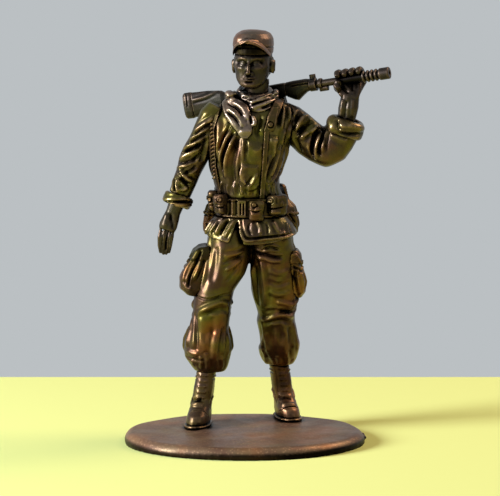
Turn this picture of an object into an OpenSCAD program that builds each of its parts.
// Toy soldier figure in the 1:32 scale, built up from separate pieces that plug and seat together.
// The figure faces -Y and stands on an oval base. The origin is the centre of the base's underside.

/* [Base] */
// Width of the oval base
base_w = 35; // [33:0.5:42]
// Depth of the oval base
base_d = 28; // [27:0.5:36]
// Thickness of the base
base_t = 1.7; // [1.6:0.1:3]
// Height of the base's upright rim
rim_h = 0.7; // [0.4:0.1:1]
// How far the rounded shoulder runs in from the rim
shoulder_in = 1.1; // [0.6:0.1:1.6]

/* [Stance] */
// Distance between the ankles from side to side
stance = 10.7; // [9.6:0.1:11.4]
// How far the left ankle stands behind the right one
stride = 5.8; // [4.6:0.1:6.4]

/* [Boots] */
// Length of a boot's sole
boot_len = 7.2; // [6.6:0.1:7.6]
// Width of a boot's sole
boot_w = 3.7; // [3.3:0.1:4.1]
// Height of a boot from its sole to the trouser leg
boot_h = 8; // [7.4:0.1:8.6]
// Thickness of the sole
sole_t = 0.55; // [0.3:0.05:0.8]
// Radius of the locating pin under each boot
foot_pin_r = 0.6; // [0.4:0.05:0.8]
// Length of the locating pin under each boot
foot_pin_h = 1.1; // [0.8:0.1:1.3]
// Radius of the plug on top of each boot
boot_plug_r = 0.9; // [0.7:0.05:1.1]
// Height of the plug on top of each boot
boot_plug_h = 1.6; // [1:0.1:2]

/* [Trousers] */
// Height of the trousers from their bloused ends to the top
trouser_h = 21.2; // [20:0.1:22.4]
// Width of the trousers across the hips
hip_w = 12.6; // [12:0.1:13]
// Depth of the trousers through the hips
hip_d = 8.4; // [7.8:0.1:8.8]
// Height of a cargo pocket
pocket_h = 7.2; // [6.4:0.1:8]
// How far a filled cargo pocket bulges out
pocket_t = 2.5; // [1.8:0.1:3]
// Radius of the peg on top of each leg
leg_peg_r = 0.8; // [0.6:0.05:0.9]
// Height of the peg on top of each leg
leg_peg_h = 1; // [0.6:0.1:1.2]

/* [Jacket] */
// Height of the jacket's skirt below the belt
skirt_h = 3.8; // [3.6:0.1:4.4]
// Height of the waist belt
belt_h = 2.8; // [2.4:0.1:3.2]
// Width of the belt round the waist
belt_w = 10; // [9.7:0.1:10.8]
// Depth of the belt round the waist
belt_d = 8; // [7.6:0.1:8.4]
// Thickness of the belt
belt_t = 0.6; // [0.4:0.05:0.8]
// Height of the jacket from the belt to the neck
torso_h = 13.9; // [13.2:0.1:14.6]
// Width of the jacket across the chest
chest_w = 12.6; // [12:0.1:13.2]
// Depth of the jacket through the chest
chest_d = 8.4; // [7.8:0.1:9]
// Radius of the plug under the waist
waist_plug_r = 2.2; // [1.8:0.1:2.3]
// Height of the plug under the waist
waist_plug_h = 0.8; // [0.5:0.1:1]

/* [Gear] */
// Width of a front ammunition pouch
pouch_w = 2.7; // [2.3:0.1:3]
// Height of a front ammunition pouch
pouch_h = 2.9; // [2.5:0.1:3.2]
// How far a pouch stands out from the belt
pouch_t = 1.2; // [0.9:0.1:1.5]
// Width of a canteen
canteen_w = 4; // [3.4:0.1:4.4]
// Height of a canteen
canteen_h = 6; // [5.2:0.1:6.6]
// Thickness of a canteen
canteen_t = 1.8; // [1.4:0.1:2.2]
// Width of a suspender strap
strap_w = 1; // [0.8:0.05:1.3]
// Thickness of a suspender strap
strap_t = 0.3; // [0.2:0.05:0.45]
// Radius of the press studs on the gear
stud_r = 0.3; // [0.2:0.02:0.4]
// Thickness of the scarf round the neck
scarf_t = 1.5; // [1.2:0.1:1.8]
// Height of the scarf round the neck
scarf_h = 2.3; // [2:0.1:2.6]
// Length of the scarf's hanging end
tail_len = 6.4; // [5.4:0.1:7.2]

/* [Arms] */
// Length of the upper sleeves
upper_arm = 8.2; // [7.8:0.1:8.6]
// Length of the lower sleeves
lower_arm = 5.7; // [5.4:0.1:6.2]
// Thickness of the sleeves
sleeve_w = 4.2; // [3.8:0.1:4.5]
// Length of the rolled cuffs
cuff_h = 1.7; // [1.4:0.1:2]
// Length of the bare forearm and hand together
hand_len = 8.2; // [7.8:0.1:8.6]
// Thickness of a bare forearm
forearm_w = 2.7; // [2.4:0.1:3]
// Radius of the pegs at the shoulders and wrists
arm_peg_r = 0.8; // [0.6:0.05:0.9]
// Length of the pegs at the shoulders and wrists
arm_peg_h = 1.5; // [1:0.1:1.8]

/* [Head] */
// Height of the head from chin to crown
head_h = 7.6; // [7.2:0.1:8]
// Width of the head
head_w = 5; // [4.7:0.1:5.3]
// Depth of the head from front to back
head_d = 6.2; // [5.8:0.1:6.6]
// Radius of the neck
neck_r = 1.6; // [1.4:0.05:1.8]
// Height of the cap's crown above its band
cap_h = 3.5; // [3:0.1:3.8]
// How far the cap's peak stands out
peak_len = 2; // [1.6:0.1:2.4]
// Thickness of the cap's peak
peak_t = 0.45; // [0.3:0.05:0.6]

/* [Rifle] */
// Length of the rifle from the butt plate to the muzzle
rifle_len = 32; // [31:0.2:34]
// Radius of the rifle's barrel
barrel_r = 0.55; // [0.45:0.01:0.62]
// Width of the rifle's stock
stock_w = 1.7; // [1.4:0.1:2]
// Height of the rifle's butt
butt_h = 3.8; // [3.4:0.1:4.2]
// Thickness of the butt plate
plate_t = 1.4; // [1:0.1:1.7]
// Radius of the ribbed muzzle sleeve
muzzle_r = 0.88; // [0.8:0.02:1]
// Length of the ribbed muzzle sleeve
muzzle_len = 4.1; // [3.6:0.1:4.6]

/* [Fit] */
// Gap left for glue round each pin and plug
glue_gap = 0.04; // [0.02:0.01:0.06]

/* [Hidden] */

// Points round a section of a large form, and of a small one
sides = 26;
few_sides = 14;
// Overrun of every cut
cut = base_t;

// Levels of the figure, from its soles up
ankle_z = base_t + boot_h;
hip_z = ankle_z + trouser_h;
belt_z = hip_z + 0.43*skirt_h;
hem_z = belt_z - skirt_h;
waist_z = belt_z + belt_h;
neck_z = waist_z + torso_h;
chin_z = neck_z + 0.26*head_h;

// The body stands in the rear half of the base, and each leg runs from its ankle to its hip
body = [0.025*base_w, 0.18*base_d, 0];
right_ankle = body + [-0.608*stance, -0.08*stride, ankle_z];
left_ankle = body + [0.392*stance, 0.92*stride, ankle_z];
right_hip = body + [-0.25*hip_w, 0, hip_z];
left_hip = body + [0.25*hip_w, 0, hip_z];
right_foot_yaw = -10;
left_foot_yaw = 13;

// Neck and head
neck = body + [0.066*chest_w, -0.02*chest_d, neck_z];
head_at = [neck[0] - 0.09*head_w, neck[1] - 0.07*head_d, chin_z];
head_yaw = -12;
// Height of the cap's band above the chin
brim_h = 0.64*head_h;

// Arms, from the shoulders to the wrists
right_shoulder = body + [-0.4*chest_w, 0, waist_z + 0.885*torso_h];
right_elbow = right_shoulder + upper_arm*aim(176, -64.5);
right_wrist = right_elbow + lower_arm*aim(199, -68.5);
left_shoulder = body + [0.385*chest_w, 0.03*chest_d, waist_z + 0.86*torso_h];
left_elbow = left_shoulder + upper_arm*aim(-1, -40);
left_wrist = left_elbow + lower_arm*aim(-8.5, 54);

// The rifle lies on the left shoulder and runs through the left fist
rifle_yaw = -19.8;
rifle_pitch = 10;
grip = left_wrist + [-0.05*forearm_w, -0.2*forearm_w, 0.71*hand_len];

// Height share, middle across and deep, half width, half depth, squareness
torso_shares = [
    [0, 0.006, 0, 0.377, 0.42, 2.3], [0.1, -0.024, 0, 0.365, 0.425, 2.3],
    [0.2, -0.047, -0.01, 0.385, 0.44, 2.3], [0.32, -0.047, -0.02, 0.417, 0.465, 2.3],
    [0.46, -0.024, -0.02, 0.452, 0.49, 2.4], [0.6, -0.006, -0.01, 0.476, 0.5, 2.4],
    [0.74, 0.016, 0.01, 0.495, 0.49, 2.4], [0.85, 0.05, 0.02, 0.49, 0.45, 2.3],
    [0.92, 0.07, 0.02, 0.435, 0.385, 2.2], [0.97, 0.072, 0.01, 0.36, 0.325, 2.1],
    [1, 0.066, 0, 0.28, 0.286, 2]];
skirt_shares = [
    [0, 0, 0, 0.55, 0.56, 2.4], [0.12, 0, 0, 0.558, 0.57, 2.4], [0.45, 0, 0, 0.535, 0.545, 2.4],
    [0.75, 0, 0, 0.485, 0.51, 2.4], [1, 0, 0, 0.425, 0.47, 2.4]];
right_leg_shares = [
    [0, 0.044, 0, 0.175, 0.262, 2.2], [0.03, 0.03, 0, 0.21, 0.327, 2.2],
    [0.1, -0.01, -0.02, 0.262, 0.4, 2.2], [0.156, -0.02, -0.03, 0.278, 0.41, 2.2],
    [0.22, -0.04, -0.06, 0.272, 0.4, 2.2], [0.295, -0.044, -0.09, 0.234, 0.357, 2.2],
    [0.38, -0.045, -0.13, 0.222, 0.351, 2.2], [0.46, -0.055, -0.13, 0.222, 0.37, 2.2],
    [0.56, -0.052, -0.1, 0.23, 0.381, 2.2], [0.68, 0.002, -0.07, 0.266, 0.417, 2.2],
    [0.77, 0.028, -0.04, 0.274, 0.452, 2.2], [0.84, 0.026, 0, 0.278, 0.48, 2.2],
    [0.88, 0.03, 0, 0.258, 0.48, 2.2], [1, 0.012, 0, 0.24, 0.44, 2.2]];
left_leg_shares = [
    [0, 0, 0, 0.16, 0.24, 2.2], [0.033, 0, 0, 0.2, 0.3, 2.2], [0.07, 0, -0.01, 0.228, 0.37, 2.2],
    [0.124, 0.011, -0.03, 0.25, 0.4, 2.2], [0.16, 0.03, -0.05, 0.24, 0.4, 2.2],
    [0.23, 0.01, -0.08, 0.228, 0.37, 2.2], [0.33, -0.011, -0.12, 0.222, 0.351, 2.2],
    [0.384, 0, -0.14, 0.213, 0.351, 2.2], [0.433, 0.005, -0.14, 0.24, 0.37, 2.2],
    [0.5, 0, -0.12, 0.266, 0.39, 2.2], [0.6, -0.018, -0.09, 0.285, 0.42, 2.2],
    [0.7, -0.034, -0.05, 0.294, 0.45, 2.2], [0.77, -0.018, -0.02, 0.276, 0.47, 2.2],
    [0.84, -0.012, 0, 0.282, 0.48, 2.2], [0.88, -0.026, 0, 0.266, 0.48, 2.2],
    [1, -0.012, 0, 0.24, 0.44, 2.2]];
// Height share, middle share along the sole, half length, half width
boot_shares = [
    [0, -0.18, 0.5, 0.5], [0.069, -0.18, 0.5, 0.5], [0.07, -0.18, 0.475, 0.455],
    [0.14, -0.175, 0.475, 0.465], [0.22, -0.165, 0.45, 0.45], [0.3, -0.12, 0.385, 0.41],
    [0.38, -0.06, 0.316, 0.401], [0.5, -0.02, 0.275, 0.407], [0.75, -0.01, 0.247, 0.39],
    [1, 0, 0.231, 0.39]];
// Height share and how far forward each lace lies
lace_shares = [[0.44, 0.333], [0.54, 0.286], [0.64, 0.271], [0.74, 0.256], [0.84, 0.245], [0.94, 0.235]];
// Place along the arm, drop below its line, half thickness, half depth
right_arm_shares = [
    [-0.12, 0, 0.36, 0.4], [0.08, 0, 0.5, 0.5], [0.3, 0, 0.48, 0.5], [0.55, 0, 0.46, 0.49],
    [0.8, 0, 0.48, 0.52], [1, 0.02, 0.48, 0.52], [1.25, 0.02, 0.43, 0.48], [1.6, 0, 0.4, 0.44],
    [1.88, 0, 0.39, 0.42]];
left_arm_shares = [
    [-0.1, 0.02, 0.4, 0.42], [0.12, 0.04, 0.56, 0.52], [0.35, 0.09, 0.62, 0.54],
    [0.6, 0.11, 0.63, 0.55], [0.82, 0.1, 0.61, 0.55], [1, 0.1, 0.59, 0.55],
    [1.2, 0.12, 0.62, 0.54], [1.45, 0.1, 0.63, 0.53], [1.68, 0.05, 0.6, 0.52], [1.8, 0.02, 0.56, 0.5]];
elbow_row = 5;
// Height share, middle share forward, half width, half depth, squareness
skull_shares = [
    [0, -0.3, 0.12, 0.08, 2.2], [0.03, -0.27, 0.2, 0.16, 2.3], [0.08, -0.2, 0.29, 0.25, 2.4],
    [0.16, -0.12, 0.37, 0.34, 2.4], [0.26, -0.06, 0.43, 0.4, 2.3], [0.4, -0.01, 0.475, 0.455, 2.2],
    [0.52, 0.01, 0.49, 0.48, 2.2], [0.64, 0.02, 0.5, 0.49, 2.2]];
cap_shares = [
    [0, 0.02, 0.54, 0.52, 2.2], [0.12, 0.02, 0.57, 0.53, 2.2], [0.4, 0.02, 0.585, 0.535, 2.3],
    [0.65, 0.02, 0.57, 0.52, 2.3], [0.84, 0.02, 0.49, 0.46, 2.2], [0.95, 0.02, 0.35, 0.34, 2.1],
    [1, 0.02, 0.14, 0.15, 2]];

function aim(azimuth, climb) = [cos(climb)*cos(azimuth), cos(climb)*sin(azimuth), sin(climb)];
function unit(v) = v/norm(v);
function mix(a, b, t) = a + (b - a)*t;
function bulge(c, n) = sign(c)*pow(abs(c), 2/n);
function flat(v) = [v[0], v[1], 0];

// A section with half sizes a and b round c, square to w; b lies along the hint
function hoop(c, a, b, n = 2, w = [0, 0, 1], hint = [0, 1, 0], count = sides) =
    let (u = unit(cross(hint, w)), v = cross(w, u))
    [for (i = [0:count - 1]) let (t = 360*i/count) c + a*bulge(cos(t), n)*u + b*bulge(sin(t), n)*v];

// Skins a stack of sections into one closed solid
module skin(rings) {
    n = len(rings[0]);
    m = len(rings);
    walls = [for (j = [0:m - 2], i = [0:n - 1])
        let (a = j*n + i, b = j*n + (i + 1)%n, c = a + n, d = b + n) each [[a, c, b], [b, c, d]]];
    bottom = [for (i = [0:n - 1]) i];
    top = [for (i = [n - 1:-1:0]) (m - 1)*n + i];
    polyhedron(points = [for (r = rings) each r], faces = concat(walls, [bottom, top]), convexity = 6);
}

// A round bar between two points
module rod(from, to, r) {
    d = to - from;
    translate(from) rotate([0, acos(d[2]/norm(d)), atan2(d[1], d[0])])
        cylinder(h = norm(d), r = r, $fn = 32);
}

// Sections of an upright form from a table of shares
function upright(shares, at, w, d, h, grow = 0) = [for (s = shares)
    hoop(at + [s[1]*w, s[2]*d, s[0]*(h + grow)], s[3]*w + grow, s[4]*d + grow, s[5])];
function leg_rings(shares, ankle, hip, grow = 0) = [for (s = shares)
    hoop(mix(ankle, hip, s[0]) + [s[1]*hip_w, s[2]*hip_d, 0],
        s[3]*hip_w + grow, s[4]*hip_d + grow, s[5])];
function arm_point(shoulder, elbow, wrist, t) =
    t < 1 ? mix(shoulder, elbow, t) : mix(elbow, wrist, t - 1);
function arm_rings(shares, shoulder, elbow, wrist) = [for (s = shares)
    let (t = s[0], bend = 0.25,
        w = unit(arm_point(shoulder, elbow, wrist, t + bend) - arm_point(shoulder, elbow, wrist, t - bend)))
    hoop(arm_point(shoulder, elbow, wrist, t) - [0, 0, s[1]*sleeve_w], s[2]*sleeve_w, s[3]*sleeve_w,
        2.2, w, count = 22)];
function part_of(rings, first, last) = [for (i = [first:last]) rings[i]];

right_arm = arm_rings(right_arm_shares, right_shoulder, right_elbow, right_wrist);
left_arm = arm_rings(left_arm_shares, left_shoulder, left_elbow, left_wrist);
right_arm_axis = unit(right_wrist - right_elbow);
left_arm_axis = unit(left_wrist - left_elbow);

module torso_form(grow = 0) {
    skin(upright(torso_shares, body + [0, 0, waist_z], chest_w, chest_d, torso_h, grow));
}

module skirt_form() {
    skin(upright(skirt_shares, body + [0, 0, hem_z], hip_w - 0.01*hip_w, hip_d, skirt_h));
}

module leg_form(shares, ankle, hip, grow = 0) {
    skin(leg_rings(shares, ankle, hip, grow));
}

module belt_form(grow = 0) {
    skin([for (z = [belt_z - grow, belt_z + 0.12*belt_h, waist_z - 0.12*belt_h, waist_z + grow])
        let (inset = z < belt_z + 0.1*belt_h || z > waist_z - 0.1*belt_h ? 0.25*belt_t : 0)
        hoop(body + [0, 0, z], belt_w/2 - inset + grow, belt_d/2 - inset + grow, 2.3)]);
}

module foot_pin(ankle, yaw, r, h) {
    translate(flat(ankle) + [0, 0, base_t - h]) rotate(yaw)
        translate([0, -0.2*boot_len, 0]) cylinder(h = h + sole_t/2, r = r, $fn = 32);
}

module base() {
    color("#66493c") difference() {
        skin([for (s = [[0, 0], [rim_h, 0], [mix(rim_h, base_t, 0.6), 0.3*shoulder_in],
                [mix(rim_h, base_t, 0.9), 0.65*shoulder_in], [base_t, shoulder_in]])
            hoop([0, 0, s[0]], base_w/2 - s[1], base_d/2 - s[1], count = 64)]);
        foot_pin(right_ankle, right_foot_yaw, foot_pin_r + glue_gap, foot_pin_h + glue_gap);
        foot_pin(left_ankle, left_foot_yaw, foot_pin_r + glue_gap, foot_pin_h + glue_gap);
    }
}

// A boot stands on its sole under the ankle, and its leg leans inward as it rises
module boot(ankle, yaw, lean) {
    color("#473e37") union() {
        translate(flat(ankle) + [0, 0, base_t]) rotate(yaw)
            skin([for (s = boot_shares)
                hoop([lean*(1 - s[0]), s[1]*boot_len, s[0]*boot_h], s[3]*boot_w, s[2]*boot_len, 2.3,
                    count = 22)]);
        rod(ankle - [0, 0, boot_plug_h], ankle + [0, 0, boot_plug_h], boot_plug_r);
        foot_pin(ankle, yaw, foot_pin_r, foot_pin_h);
        // Laces cross the front of the leg
        translate(flat(ankle) + [0, 0, base_t]) rotate(yaw)
            for (s = lace_shares) let (at = [lean*(1 - s[0]), -s[1]*boot_len, s[0]*boot_h])
                rod(at - [0.15*boot_w, 0, 0], at + [0.15*boot_w, 0, 0], 0.03*boot_w);
    }
}
module right_boot() boot(right_ankle, right_foot_yaw, -0.27*boot_w);
module left_boot() boot(left_ankle, left_foot_yaw, 0.3*boot_w);

// A trouser leg meets the other one at the middle seam
module trouser_leg(shares, ankle, hip, side) {
    color("#5b4a3e") difference() {
        union() {
            intersection() {
                leg_form(shares, ankle, hip);
                translate([body[0] + (side < 0 ? -hip_w : 0), body[1] - 2*hip_d, 0])
                    cube([hip_w, 4*hip_d, hip_z + cut]);
            }
            rod(hip - [0, 0, leg_peg_h], hip + [0, 0, leg_peg_h], leg_peg_r);
        }
        rod(ankle - [0, 0, cut], ankle + [0, 0, boot_plug_h + glue_gap], boot_plug_r + glue_gap);
    }
}
module right_trouser_leg() trouser_leg(right_leg_shares, right_ankle, right_hip, -1);
module left_trouser_leg() trouser_leg(left_leg_shares, left_ankle, left_hip, 1);

// A stuffed cargo pocket hangs on the outside of the thigh, fullest near its foot
// Height share, outward half size, half depth
pocket_shares = [[0, 0.55, 0.26], [0.12, 0.9, 0.33], [0.35, 1, 0.35], [0.6, 0.82, 0.34],
    [0.74, 0.66, 0.32], [0.75, 0.76, 0.345], [0.92, 0.64, 0.33], [1, 0.4, 0.27]];
module cargo_pocket(shares, ankle, hip, side, foot_share, fullness) {
    color("#54463b") difference() {
        skin([for (s = pocket_shares)
            let (z = foot_share*trouser_h + s[0]*pocket_h,
                at = mix(ankle, hip, z/trouser_h) + [side*0.23*hip_w, -0.08*hip_d, 0])
            hoop(at, s[1]*fullness*pocket_t, s[2]*pocket_h, 3, count = 20)]);
        leg_form(shares, ankle, hip);
    }
}
module right_cargo_pocket() cargo_pocket(right_leg_shares, right_ankle, right_hip, -1, 0.535, 1.24);
module left_cargo_pocket() cargo_pocket(left_leg_shares, left_ankle, left_hip, 1, 0.5, 0.68);

// The jacket's skirt hangs from the belt over the top of both legs. Its hem rises at the sides
// and opens at the front
hem_arch_r = 1.5*hip_w;
module jacket_skirt() {
    color("#5f4d40") difference() {
        intersection() {
            skirt_form();
            translate([body[0], body[1] + hip_w, hem_z + hem_arch_r]) rotate([90, 0, 0])
                cylinder(h = 2*hip_w, r = hem_arch_r, $fn = 128);
        }
        translate([body[0] - 0.09*hip_w, body[1], hem_z]) rotate([90, 0, 0]) linear_extrude(hip_w)
            polygon(skirt_h*[[-0.62, -0.1], [0.08, -0.1], [-0.06, 0.3], [-0.13, 0.85], [-0.24, 0.85],
                [-0.4, 0.4]]);
        leg_form(right_leg_shares, right_ankle, right_hip, glue_gap);
        leg_form(left_leg_shares, left_ankle, left_hip, glue_gap);
        for (hip = [right_hip, left_hip])
            rod(hip - [0, 0, cut], hip + [0, 0, leg_peg_h + glue_gap], leg_peg_r + glue_gap);
        rod(body + [0, 0, belt_z - waist_plug_h - glue_gap], body + [0, 0, belt_z + cut],
            waist_plug_r + glue_gap);
    }
}

// The jacket's waist, which the belt goes round
module waist_form(over = 0, grow = 0) {
    skin([for (z = [belt_z - over, waist_z + over])
        hoop(body + [0, 0, z], belt_w/2 - belt_t + grow, belt_d/2 - belt_t + grow, 2.3)]);
}
module waist_belt() {
    color("#4a3d34") difference() {
        belt_form();
        waist_form(cut, glue_gap);
    }
}

// Places a piece on the outside of the belt; its own -Y side faces outward
module on_belt(angle, z) {
    out = [cos(angle)/belt_w, sin(angle)/belt_d];
    translate(body + [belt_w/2*bulge(cos(angle), 2.3), belt_d/2*bulge(sin(angle), 2.3), z])
        rotate(atan2(out[1], out[0]) + 90) children();
}

buckle_h = 0.8*belt_h;
buckle_w = 0.5*buckle_h;
module belt_buckle() {
    color("#8a7461") difference() {
        on_belt(-101, belt_z + belt_h/2) rotate([90, 0, 0]) difference() {
            translate([0, 0, -belt_t]) linear_extrude(1.6*belt_t) offset(0.1*buckle_w, $fn = 16)
                square([0.8*buckle_w, buckle_h], center = true);
            for (side = [-1, 1])
                translate([side*0.2*buckle_w, 0, 0.35*belt_t]) linear_extrude(cut)
                    square([0.22*buckle_w, 0.75*buckle_h], center = true);
        }
        belt_form();
    }
}

// A pouch with a flap and a press stud
pouch_shares = [[0, 0.44, 0.7], [0.1, 0.5, 0.92], [0.5, 0.5, 1], [0.51, 0.54, 1.1], [0.88, 0.53, 1.06],
    [1, 0.46, 0.85]];
module pouch(angle, z, w) {
    color("#54453a") difference() {
        on_belt(angle, z) union() {
            skin([for (s = pouch_shares) hoop([0, 0, s[0]*pouch_h], s[1]*w, s[2]*pouch_t, 4,
                count = few_sides)]);
            translate([0, -pouch_t, 0.62*pouch_h]) rotate([90, 0, 0])
                cylinder(h = 0.2*pouch_t, r = stud_r, $fn = 20);
        }
        belt_form();
        skirt_form();
        torso_form(strap_t + glue_gap);
    }
}
module right_front_pouch() pouch(-142, belt_z + 0.2*belt_h, 0.65*pouch_w);
module right_side_pouch() pouch(-175, belt_z + 0.3*belt_h, 0.8*pouch_w);
module left_front_pouch() pouch(-83, belt_z - 0.1*belt_h, 0.8*pouch_w);
module left_side_pouch() pouch(-45, belt_z + 0.15*belt_h, 1.1*pouch_w);

// A canteen in its cover hangs behind each hip and leans against the waist with its neck
canteen_shares = [[0, 0.34, 0.6], [0.07, 0.45, 0.88], [0.25, 0.5, 1], [0.5, 0.49, 1], [0.51, 0.52, 1.08],
    [0.7, 0.47, 0.95], [0.82, 0.32, 0.62], [0.88, 0.26, 0.55], [1.18, 0.24, 0.5], [1.24, 0.17, 0.35]];
module canteen(side, turn, back_share) {
    color("#504238") difference() {
        translate([body[0] + side*0.41*hip_w, body[1] + back_share*hip_d, hem_z + 0.2*skirt_h])
            rotate(turn)
                skin([for (s = canteen_shares) hoop([0, 0.5*s[0]*canteen_t, s[0]*canteen_h],
                    s[1]*canteen_w, s[2]*canteen_t, 3, count = 18)]);
        belt_form();
        skirt_form();
        torso_form(strap_t + glue_gap);
    }
}
module right_canteen() canteen(-1, -120, 0.4);
module left_canteen() canteen(1, 120, 0.26);

// Bore or peg that joins a sleeve to the jacket
module shoulder_peg(shoulder, elbow, gap = 0) {
    axis = unit(elbow - shoulder);
    inner = shoulder + 0.45*arm_peg_h*axis;
    rod(inner - (arm_peg_h + gap)*axis, inner + arm_peg_h*axis, arm_peg_r + gap);
}

// The jacket's front edge and two chest flaps lie on it as a second layer of cloth; across and up shares
placket_shares = [[-0.12, 0.02], [-0.09, 0.3], [-0.07, 0.61], [-0.05, 0.61], [-0.06, 0.3], [-0.08, 0.02]];
flap_shares = [[[-0.04, 0.6], [0.125, 0.55], [0.13, 0.51], [0.06, 0.47], [-0.02, 0.52]],
    [[0.23, 0.63], [0.31, 0.62], [0.31, 0.58], [0.27, 0.55], [0.23, 0.58]]];
module second_layer() {
    intersection() {
        torso_form(0.7*strap_t);
        for (outline = concat([placket_shares], flap_shares))
            translate([body[0], body[1], waist_z]) rotate([90, 0, 0]) linear_extrude(chest_d)
                polygon([for (s = outline) [s[0]*chest_w, s[1]*torso_h]]);
    }
}

module jacket_body() {
    color("#624f42") difference() {
        union() {
            torso_form();
            second_layer();
            waist_form();
            rod(body + [0, 0, belt_z - waist_plug_h], body + [0, 0, waist_z], waist_plug_r);
        }
        rod(neck - [0, 0, 1.5*neck_r], neck + [0, 0, cut], neck_r + glue_gap);
        shoulder_peg(right_shoulder, right_elbow, glue_gap);
        shoulder_peg(left_shoulder, left_elbow, glue_gap);
    }
}

// A suspender is a strip of the jacket's outline, from the belt over the shoulder and down the back;
// its line gives across, up and width shares
module suspender(line_shares, ring) {
    line = [for (s = line_shares) [body[0] + s[0]*chest_w, waist_z + s[1]*torso_h, s[2]*strap_w/2]];
    edge = [for (p = line) [p[0] - p[2], p[1]]];
    other = [for (i = [len(line) - 1:-1:0]) [line[i][0] + line[i][2], line[i][1]]];
    color("#4b3e35") difference() {
        intersection() {
            torso_form(strap_t);
            translate([0, body[1] + chest_d, 0]) rotate([90, 0, 0])
                linear_extrude(2*chest_d) polygon(concat(edge, other));
        }
        torso_form();
        belt_form();
        skin(part_of(ring, 0, elbow_row));
        scarf_form();
        scarf_knots();
        magazine_form(glue_gap);
        on_rifle() trigger_guard_at() guard_form(glue_gap);
    }
}
right_line_shares = [[-0.357, -0.02, 0.8], [-0.43, 0.33, 0.8], [-0.45, 0.72, 0.8], [-0.33, 1.1, 1]];
left_line_shares = [[0.13, -0.02, 0.65], [0.153, 0.27, 0.65], [0.185, 0.7, 0.65], [0.21, 0.715, 1.4],
    [0.25, 0.84, 1.4], [0.37, 1.1, 1.4]];
module right_suspender() suspender(right_line_shares, right_arm);
module left_suspender() suspender(left_line_shares, left_arm);

// Sleeves meet face to face at the elbow, round a peg
module upper_sleeve(ring, shoulder, elbow, axis) {
    color("#604e41") difference() {
        union() {
            difference() {
                skin(part_of(ring, 0, elbow_row));
                torso_form();
            }
            shoulder_peg(shoulder, elbow);
        }
        rod(elbow - arm_peg_h*axis, elbow + arm_peg_h*axis, arm_peg_r + glue_gap);
    }
}
module right_upper_sleeve() upper_sleeve(right_arm, right_shoulder, right_elbow, right_arm_axis);
module left_upper_sleeve() upper_sleeve(left_arm, left_shoulder, left_elbow, left_arm_axis);

module lower_sleeve(ring, elbow, wrist, axis) {
    color("#5d4b3f") difference() {
        union() {
            difference() {
                skin(part_of(ring, elbow_row, len(ring) - 1));
                skin(part_of(ring, 0, elbow_row));
            }
            rod(elbow - (arm_peg_h - glue_gap)*axis, elbow + arm_peg_h*axis, arm_peg_r);
        }
        rod(wrist - 1.8*arm_peg_h*axis, wrist + arm_peg_h*axis, arm_peg_r + glue_gap);
    }
}
module right_lower_sleeve() lower_sleeve(right_arm, right_elbow, right_wrist, right_arm_axis);
module left_lower_sleeve() lower_sleeve(left_arm, left_elbow, left_wrist, left_arm_axis);

// A rolled cuff sits on the end of the sleeve, with room round the forearm
cuff_shares = [[0, 0.84], [0.12, 0.97], [0.45, 1], [0.8, 0.98], [0.95, 0.9], [1, 0.8]];
function cuff_start(ring) = let (r = ring[len(ring) - 1]) [for (i = [0:2])
    (r[0][i] + r[floor(len(r)/2)][i])/2];
module cuff(ring, axis, size, back = 0, long = 1) {
    start = cuff_start(ring) - back*cuff_h*axis;
    color("#6b5747") difference() {
        skin([for (s = cuff_shares)
            hoop(start + s[0]*long*cuff_h*axis, s[1]*size, s[1]*size, 2.1, axis, count = 22)]);
        if (back > 0) skin(part_of(ring, elbow_row, len(ring) - 1));
        rod(start - cut*axis, start + (long*cuff_h + cut)*axis, forearm_w/2 + 8*glue_gap);
    }
}
module right_cuff() cuff(right_arm, right_arm_axis, 0.52*sleeve_w);
// The left cuff has slipped down the raised arm, and lies as a thick roll
module left_cuff() cuff(left_arm, aim(-8.5, 72), 0.67*sleeve_w, 0.85, 1.5);

// A finger is a round form along a line that bends in the plane square to the hint
module finger(line, r, hint = [0, 1, 0]) {
    n = len(line);
    skin([for (i = [0:n - 1])
        let (w = unit(line[min(i + 1, n - 1)] - line[max(i - 1, 0)]), size = i == 0 || i == n - 1 ? 0.6*r : r)
        hoop(line[i], size, size, 2, w, hint, 8)]);
}

// The right hand hangs open beside the thigh
module right_hand() {
    axis = right_arm_axis;
    start = cuff_start(right_arm);
    turn = unit([-0.38, -0.1, -1]);
    end = start + cuff_h*axis;
    color("#5a483c") union() {
        rod(start - 0.9*arm_peg_h*axis, start + 0.4*cuff_h*axis, arm_peg_r);
        skin([for (s = [[start, 0.44, 0.44], [end, 0.43, 0.42], [end + 0.12*hand_len*turn, 0.4, 0.34],
                [end + 0.24*hand_len*turn, 0.46, 0.3], [end + 0.38*hand_len*turn, 0.5, 0.32],
                [end + 0.46*hand_len*turn, 0.44, 0.28]])
            hoop(s[0], s[1]*forearm_w, s[2]*forearm_w, 2.3, axis, count = few_sides)]);
        for (i = [0:3]) let (across = i - 1.5,
                root = end + 0.42*hand_len*turn + [across*0.23*forearm_w, 0, 0])
            finger([root, root + hand_len*[-0.03 - 0.005*across, -0.01, -0.16],
                root + hand_len*[-0.045 - 0.015*across, 0.02, -0.32],
                root + hand_len*[-0.05 - 0.025*across, 0.07, -0.47 - 0.02*cos(90*across)]], 0.125*forearm_w);
        let (root = end + 0.18*hand_len*turn + [0.16*forearm_w, 0, 0])
            finger([root, root + hand_len*[0.015, 0, -0.1], root + hand_len*[-0.005, 0.01, -0.22],
                root + hand_len*[-0.035, 0.03, -0.31]], 0.135*forearm_w);
    }
}

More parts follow.
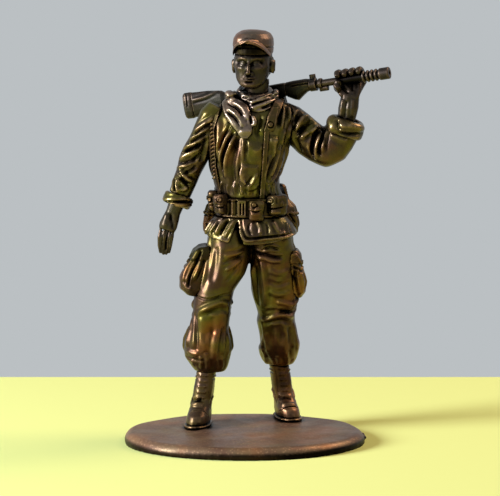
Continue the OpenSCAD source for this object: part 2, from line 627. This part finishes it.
// Places a piece on the rifle; its own +X runs along the barrel, from the left fist at zero
module on_rifle() {
    translate(grip) rotate([0, -rifle_pitch, rifle_yaw]) children();
}
rifle_axis = [cos(rifle_pitch)*cos(rifle_yaw), cos(rifle_pitch)*sin(rifle_yaw), sin(rifle_pitch)];
rifle_side = [-sin(rifle_yaw), cos(rifle_yaw), 0];
rifle_up = cross(rifle_axis, rifle_side);

// The left fist closes round the barrel from behind, with its fingers over the top
finger_r = 0.215*forearm_w;
module left_hand() {
    axis = left_arm_axis;
    start = cuff_start(left_arm);
    wrist = grip - [0, 0, 0.3*hand_len] + 0.4*finger_r*rifle_side;
    reach = barrel_r + finger_r;
    color("#5a483c") difference() {
        union() {
            rod(start - 0.9*arm_peg_h*axis, start + 0.4*cuff_h*axis, arm_peg_r);
            skin([for (s = [[start, 0.42, 0.42, axis], [mix(start, wrist, 0.3), 0.5, 0.47, [0, 0, 1]],
                    [mix(start, wrist, 0.6), 0.55, 0.5, [0, 0, 1]], [wrist, 0.5, 0.4, [0, 0, 1]],
                    [mix(wrist, grip, 0.45) + finger_r*(rifle_side - 0.4*rifle_axis), 0.74, 0.38, [0, 0, 1]],
                    [mix(wrist, grip, 0.8) + finger_r*(2*rifle_side - 0.6*rifle_axis), 0.92, 0.34, [0, 0, 1]],
                    [grip + finger_r*(2.2*rifle_side - 0.6*rifle_axis), 0.88, 0.22, [0, 0, 1]]])
                hoop(s[0], s[1]*forearm_w, s[2]*forearm_w, 2.4, s[3], count = few_sides)]);
            for (i = [0:3]) let (at = grip + (i - 1.45)*1.85*finger_r*rifle_axis)
                finger([for (a = [-30 + 7*i, 10 + 4*i, 45 + 2*i, 80 - i, 112 - 2*i, 148 - 3*i])
                    at + reach*(cos(a)*rifle_side + sin(a)*rifle_up)],
                    finger_r*(1 - 0.03*i), rifle_axis);
            let (at = grip - 4.1*finger_r*rifle_axis)
                finger([for (a = [-20, -65, -110, -150, -185])
                    at + (-a/60)*0.5*finger_r*rifle_axis + reach*(cos(a)*rifle_side + sin(a)*rifle_up)],
                    1.15*finger_r, rifle_axis);
        }
        rod(grip - 6*muzzle_r*rifle_axis, grip + 6*muzzle_r*rifle_axis, barrel_r + glue_gap);
    }
}

// Height share, half width and half depth of the scarf's wrap
scarf_shares = [[0, 1], [0.12, 1.13], [0.3, 1.16], [0.42, 1.04], [0.5, 1.08], [0.68, 1], [0.85, 0.82],
    [1, 0.5]];
module scarf_form() {
    skin([for (s = scarf_shares)
        let (r = neck_r + s[1]*scarf_t*1.05 - 0.1*scarf_t)
        hoop(neck + [0, -0.1*scarf_t*(1 - s[0]), scarf_h*(s[0] - 0.27)], 1.03*r, r, 2.1,
            unit([0.08, -0.3, 1]), count = 22)]);
}
module scarf_knot(at, r) {
    translate(neck + at) skin([for (a = [-75, -45, -15, 15, 45, 75])
        hoop([0, 0, r*sin(a)], r*cos(a), r*cos(a), count = few_sides)]);
}
module scarf_knots() {
    scarf_knot([neck_r + 0.72*scarf_t, -0.6*neck_r, 0.45*scarf_h], 0.42*scarf_t);
    scarf_knot([-neck_r - 1.25*scarf_t, -0.9*neck_r, 0.3*scarf_h], 0.65*scarf_t);
}
module neck_scarf() {
    color("#6d5a4a") difference() {
        union() {
            scarf_form();
            scarf_knots();
        }
        torso_form();
        rod(neck - [0, 0, cut], neck + [0, 0, 1.5*scarf_h], neck_r + glue_gap);
        // Room for the rifle behind the neck
        on_rifle() rifle_form([for (x = [butt_x, nose_x]) [x, 0.5*stock_w + glue_gap,
            0.3*butt_h + glue_gap, -0.3*butt_h - glue_gap]]);
    }
}

// The scarf's loose end lies on the chest as a long leaf; across and down shares of its length
tail_shares = [[-0.78, -0.02], [-0.64, 0.12], [-0.34, 0.05], [-0.18, -0.08], [-0.12, -0.27],
    [0.01, -0.4], [0, -0.5], [-0.09, -0.53], [-0.1, -0.68], [-0.2, -0.79], [-0.33, -0.8], [-0.41, -0.71],
    [-0.47, -0.6], [-0.63, -0.43], [-0.74, -0.22]];
tail_t = 0.45*scarf_t;
module scarf_tail() {
    color("#6d5a4a") difference() {
        intersection() {
            torso_form(tail_t);
            translate([neck[0], body[1], neck_z]) rotate([90, 0, 0]) linear_extrude(chest_d)
                polygon([for (s = tail_shares) tail_len*s]);
        }
        torso_form();
        scarf_form();
        scarf_knots();
        skin(part_of(right_arm, 0, elbow_row));
    }
}

// Places a piece on the head, from the chin up, with the face towards -Y
module on_head() {
    translate(head_at) rotate(head_yaw) children();
}
nose_shares = [[0.27, 0.03, 0.07], [0.29, 0.075, 0.13], [0.34, 0.06, 0.11], [0.46, 0.035, 0.06],
    [0.52, 0.03, 0.03]];
lip_shares = [[0.165, 0.05, 0.03], [0.185, 0.11, 0.045], [0.215, 0.13, 0.05], [0.235, 0.06, 0.04]];
ear_shares = [[0.28, 0.03, 0.04], [0.34, 0.05, 0.07], [0.45, 0.06, 0.1], [0.5, 0.05, 0.08],
    [0.52, 0.02, 0.03]];
crown_plug_r = 0.28*head_w;
crown_plug_h = 0.35*cap_h;
module skull_form() {
    skin([for (s = skull_shares) hoop([0, s[1]*head_d, s[0]*head_h], s[2]*head_w, s[3]*head_d, s[4])]);
}
module face_form(shares, at) {
    skin([for (s = shares) hoop(at + [0, 0, s[0]*head_h], s[1]*head_w, s[2]*head_d, 2, count = 10)]);
}
module head() {
    color("#5e4c3f") union() {
        rod(neck - [0, 0, 1.4*neck_r], neck + [0, 0, 0.42*head_h], neck_r);
        on_head() {
            skull_form();
            translate([0, 0, brim_h - crown_plug_h])
                cylinder(h = 2*crown_plug_h, r = crown_plug_r, $fn = 32);
            face_form(nose_shares, [0, -0.44*head_d, 0]);
            face_form(lip_shares, [0, -0.445*head_d, 0]);
            for (side = [-1, 1]) face_form(ear_shares, [side*0.49*head_w, 0.03*head_d, 0]);
        }
    }
}

module cap_form() {
    translate([0, 0, brim_h])
        skin([for (s = cap_shares) hoop([0, s[1]*head_d, s[0]*cap_h], s[2]*head_w, s[3]*head_d, s[4])]);
}
module cap_crown() {
    color("#4d4037") on_head() difference() {
        cap_form();
        translate([0, 0, brim_h - cut]) cylinder(h = cut + crown_plug_h + glue_gap,
            r = crown_plug_r + glue_gap, $fn = 32);
    }
}

// The peak arches over the brow and is longest in the middle
peak_rise = 0.8*cap_h;
peak_steps = 14;
module cap_peak() {
    color("#453a32") on_head() difference() {
        skin([for (i = [0:peak_steps])
            let (a = 168 - 156*i/peak_steps, x = 0.56*head_w*cos(a), root = -0.2*head_d*sin(a),
                z = brim_h - 0.2*cap_h + peak_rise*sin(a),
                tip = -0.51*head_d*sin(a) - peak_len*pow(sin(a), 0.8))
            [[x, root, z], [x, root, z + peak_t], [x, tip, z - 0.1*cap_h + peak_t],
                [x, tip, z - 0.1*cap_h]]]);
        cap_form();
        skull_form();
    }
}

// Stations along the rifle, from the fist: the muzzle sleeve begins where the fingers end, the band
// clears the thumb, and the butt is one rifle length behind the muzzle
finger_gap = 0.7*finger_r;
muzzle_x = 3.45*finger_r + muzzle_len;
butt_x = muzzle_x - rifle_len;
plate_x = butt_x + plate_t;
band_x = -5.15*finger_r - finger_gap - 2.4*barrel_r;
nose_x = band_x - 0.045*rifle_len;
guard_x = mix(butt_x, nose_x, 0.82);
wrist_x = mix(butt_x, nose_x, 0.558);

// A form along the rifle from sections of station, half width, top and bottom
module rifle_form(sections, n = 2.6) {
    skin([for (s = sections)
        hoop([s[0], 0, (s[2] + s[3])/2], s[1], (s[2] - s[3])/2, n, [1, 0, 0], [0, 0, 1], count = 18)]);
}

module rifle_butt_plate() {
    color("#54453a") on_rifle() rifle_form([
        [butt_x, 0.4*stock_w, 0.42*butt_h, -0.5*butt_h],
        [butt_x + 0.2*plate_t, 0.52*stock_w, 0.47*butt_h, -0.55*butt_h],
        [plate_x - 0.2*plate_t, 0.54*stock_w, 0.47*butt_h, -0.56*butt_h],
        [plate_x, 0.5*stock_w, 0.45*butt_h, -0.53*butt_h]]);
}
module rifle_stock() {
    color("#6a5546") on_rifle() rifle_form([
        [plate_x, 0.5*stock_w, 0.45*butt_h, -0.54*butt_h],
        [mix(plate_x, wrist_x, 0.25), 0.5*stock_w, 0.42*butt_h, -0.52*butt_h],
        [mix(plate_x, wrist_x, 0.48), 0.48*stock_w, 0.34*butt_h, -0.42*butt_h],
        [mix(plate_x, wrist_x, 0.54), 0.42*stock_w, 0.24*butt_h, -0.37*butt_h],
        [mix(plate_x, wrist_x, 0.75), 0.4*stock_w, 0.2*butt_h, -0.25*butt_h],
        [wrist_x, 0.44*stock_w, 0.22*butt_h, -0.24*butt_h]]);
}
module rifle_receiver() {
    color("#3f362f") on_rifle() difference() {
        rifle_form([
            [wrist_x, 0.44*stock_w, 0.22*butt_h, -0.24*butt_h],
            [mix(wrist_x, guard_x, 0.15), 0.48*stock_w, 0.24*butt_h, -0.27*butt_h],
            [mix(wrist_x, guard_x, 0.9), 0.48*stock_w, 0.26*butt_h, -0.28*butt_h],
            [guard_x, 0.46*stock_w, 0.24*butt_h, -0.27*butt_h]], 3.5);
        translate([mix(wrist_x, guard_x, 0.45), -stock_w, 0.02*butt_h])
            cube([0.3*(guard_x - wrist_x), 0.6*stock_w, 0.14*butt_h]);
    }
}
module rifle_handguard() {
    color("#6a5546") on_rifle() difference() {
        rifle_form([
            [guard_x, 0.48*stock_w, 0.26*butt_h, -0.31*butt_h],
            [mix(guard_x, nose_x, 0.3), 0.5*stock_w, 0.28*butt_h, -0.46*butt_h],
            [mix(guard_x, nose_x, 0.45), 0.5*stock_w, 0.28*butt_h, -0.5*butt_h],
            [mix(guard_x, nose_x, 0.65), 0.5*stock_w, 0.28*butt_h, -0.36*butt_h],
            [mix(guard_x, nose_x, 0.85), 0.5*stock_w, 0.28*butt_h, -0.24*butt_h],
            [nose_x, 0.44*stock_w, 0.25*butt_h, -0.2*butt_h]]);
        translate([mix(guard_x, nose_x, 0.4), 0, 0]) rotate([0, 90, 0])
            cylinder(h = nose_x - guard_x, r = barrel_r + glue_gap, $fn = 32);
    }
}
module trigger_guard_at() {
    translate([wrist_x + 0.1*butt_h, 0, -0.24*butt_h]) children();
}
module guard_form(gap = 0) {
    rotate([90, 0, 0]) cylinder(h = 0.4*stock_w + 2*gap, r = 0.3*butt_h + gap, center = true, $fn = 28);
}
module rifle_trigger_guard() {
    color("#3f362f") on_rifle() trigger_guard_at() difference() {
        guard_form();
        rotate([90, 0, 0]) cylinder(h = stock_w, r = 0.22*butt_h, center = true, $fn = 28);
        translate([-butt_h, -stock_w, 0]) cube([2*butt_h, 2*stock_w, butt_h]);
    }
}
// The magazine follows the receiver's underside, and the strap below it is relieved by the same form
module magazine_form(gap = 0) {
    on_rifle() translate([mix(wrist_x, guard_x, 0.62), 0, -0.25*butt_h]) rotate([90, 0, 0])
        linear_extrude(0.6*stock_w + 2*gap, center = true) offset(0.03*butt_h + gap, $fn = 16)
            polygon(0.3*butt_h*[[0, 0.4], [1.1, 0.4], [1.25, -0.9], [0.2, -1.1]]);
}
module rifle_magazine() {
    color("#3f362f") difference() {
        magazine_form();
        torso_form(glue_gap);
        on_rifle() rifle_form([[wrist_x - cut, 0.48*stock_w, 0.26*butt_h, -0.28*butt_h],
            [guard_x + cut, 0.48*stock_w, 0.26*butt_h, -0.28*butt_h]], 3.5);
    }
}
module rifle_sight() {
    color("#3f362f") on_rifle() difference() {
        union() {
            translate([nose_x + 1.1*barrel_r, 0, 0])
                cylinder(h = 2.8*barrel_r, r = 0.85*barrel_r, $fn = 24);
            translate([nose_x + glue_gap, 0, 0]) rotate([0, 90, 0])
                cylinder(h = 1.9*barrel_r, r = 1.7*barrel_r, $fn = 32);
        }
        translate([nose_x, 0, 0]) rotate([0, 90, 0])
            cylinder(h = rifle_len, r = barrel_r + glue_gap, $fn = 32);
    }
}
module rifle_barrel() {
    from = mix(guard_x, nose_x, 0.45);
    color("#38302a") on_rifle() translate([from, 0, 0]) rotate([0, 90, 0])
        cylinder(h = muzzle_x - 0.35*muzzle_len - from, r = barrel_r, $fn = 32);
}
module rifle_band() {
    color("#3f362f") on_rifle() difference() {
        union() {
            translate([band_x, 0, 0]) rotate([0, 90, 0])
                cylinder(h = 0.9*barrel_r, r = 1.45*barrel_r, $fn = 32);
            translate([band_x, 0, -1.3*barrel_r]) rotate([0, 90, 0])
                cylinder(h = 2.4*barrel_r, r = 0.8*barrel_r, $fn = 24);
        }
        translate([nose_x, 0, 0]) rotate([0, 90, 0])
            cylinder(h = rifle_len, r = barrel_r + glue_gap, $fn = 32);
    }
}
module rifle_muzzle() {
    start = muzzle_x - muzzle_len;
    rib = muzzle_len/13;
    color("#38302a") on_rifle() difference() {
        rotate([0, 90, 0]) rotate_extrude($fn = 40) polygon(concat(
            [[0, start]],
            [for (i = [0:3]) each [[0.78*muzzle_r, start + 2*i*rib], [muzzle_r, start + (2*i + 0.3)*rib],
                [muzzle_r, start + (2*i + 1)*rib], [0.78*muzzle_r, start + (2*i + 1.3)*rib]]],
            [[0.8*muzzle_r, start + 8*rib], [muzzle_r, start + 8.4*rib], [muzzle_r, muzzle_x - 0.3*rib],
                [0.9*muzzle_r, muzzle_x], [0, muzzle_x]]));
        translate([start - cut, 0, 0]) rotate([0, 90, 0])
            cylinder(h = 0.65*muzzle_len + cut + glue_gap, r = barrel_r + glue_gap, $fn = 32);
        translate([start, 0, 0]) rotate([0, 90, 0])
            cylinder(h = muzzle_len + cut, r = 0.6*barrel_r, $fn = 24);
    }
}

base();
right_boot();
left_boot();
right_trouser_leg();
left_trouser_leg();
right_cargo_pocket();
left_cargo_pocket();
jacket_skirt();
waist_belt();
belt_buckle();
right_front_pouch();
right_side_pouch();
left_front_pouch();
left_side_pouch();
right_canteen();
left_canteen();
jacket_body();
right_suspender();
left_suspender();
right_upper_sleeve();
right_lower_sleeve();
right_cuff();
right_hand();
left_upper_sleeve();
left_lower_sleeve();
left_cuff();
left_hand();
neck_scarf();
scarf_tail();
head();
cap_crown();
cap_peak();
rifle_butt_plate();
rifle_stock();
rifle_trigger_guard();
rifle_receiver();
rifle_handguard();
rifle_magazine();
rifle_sight();
rifle_barrel();
rifle_band();
rifle_muzzle();
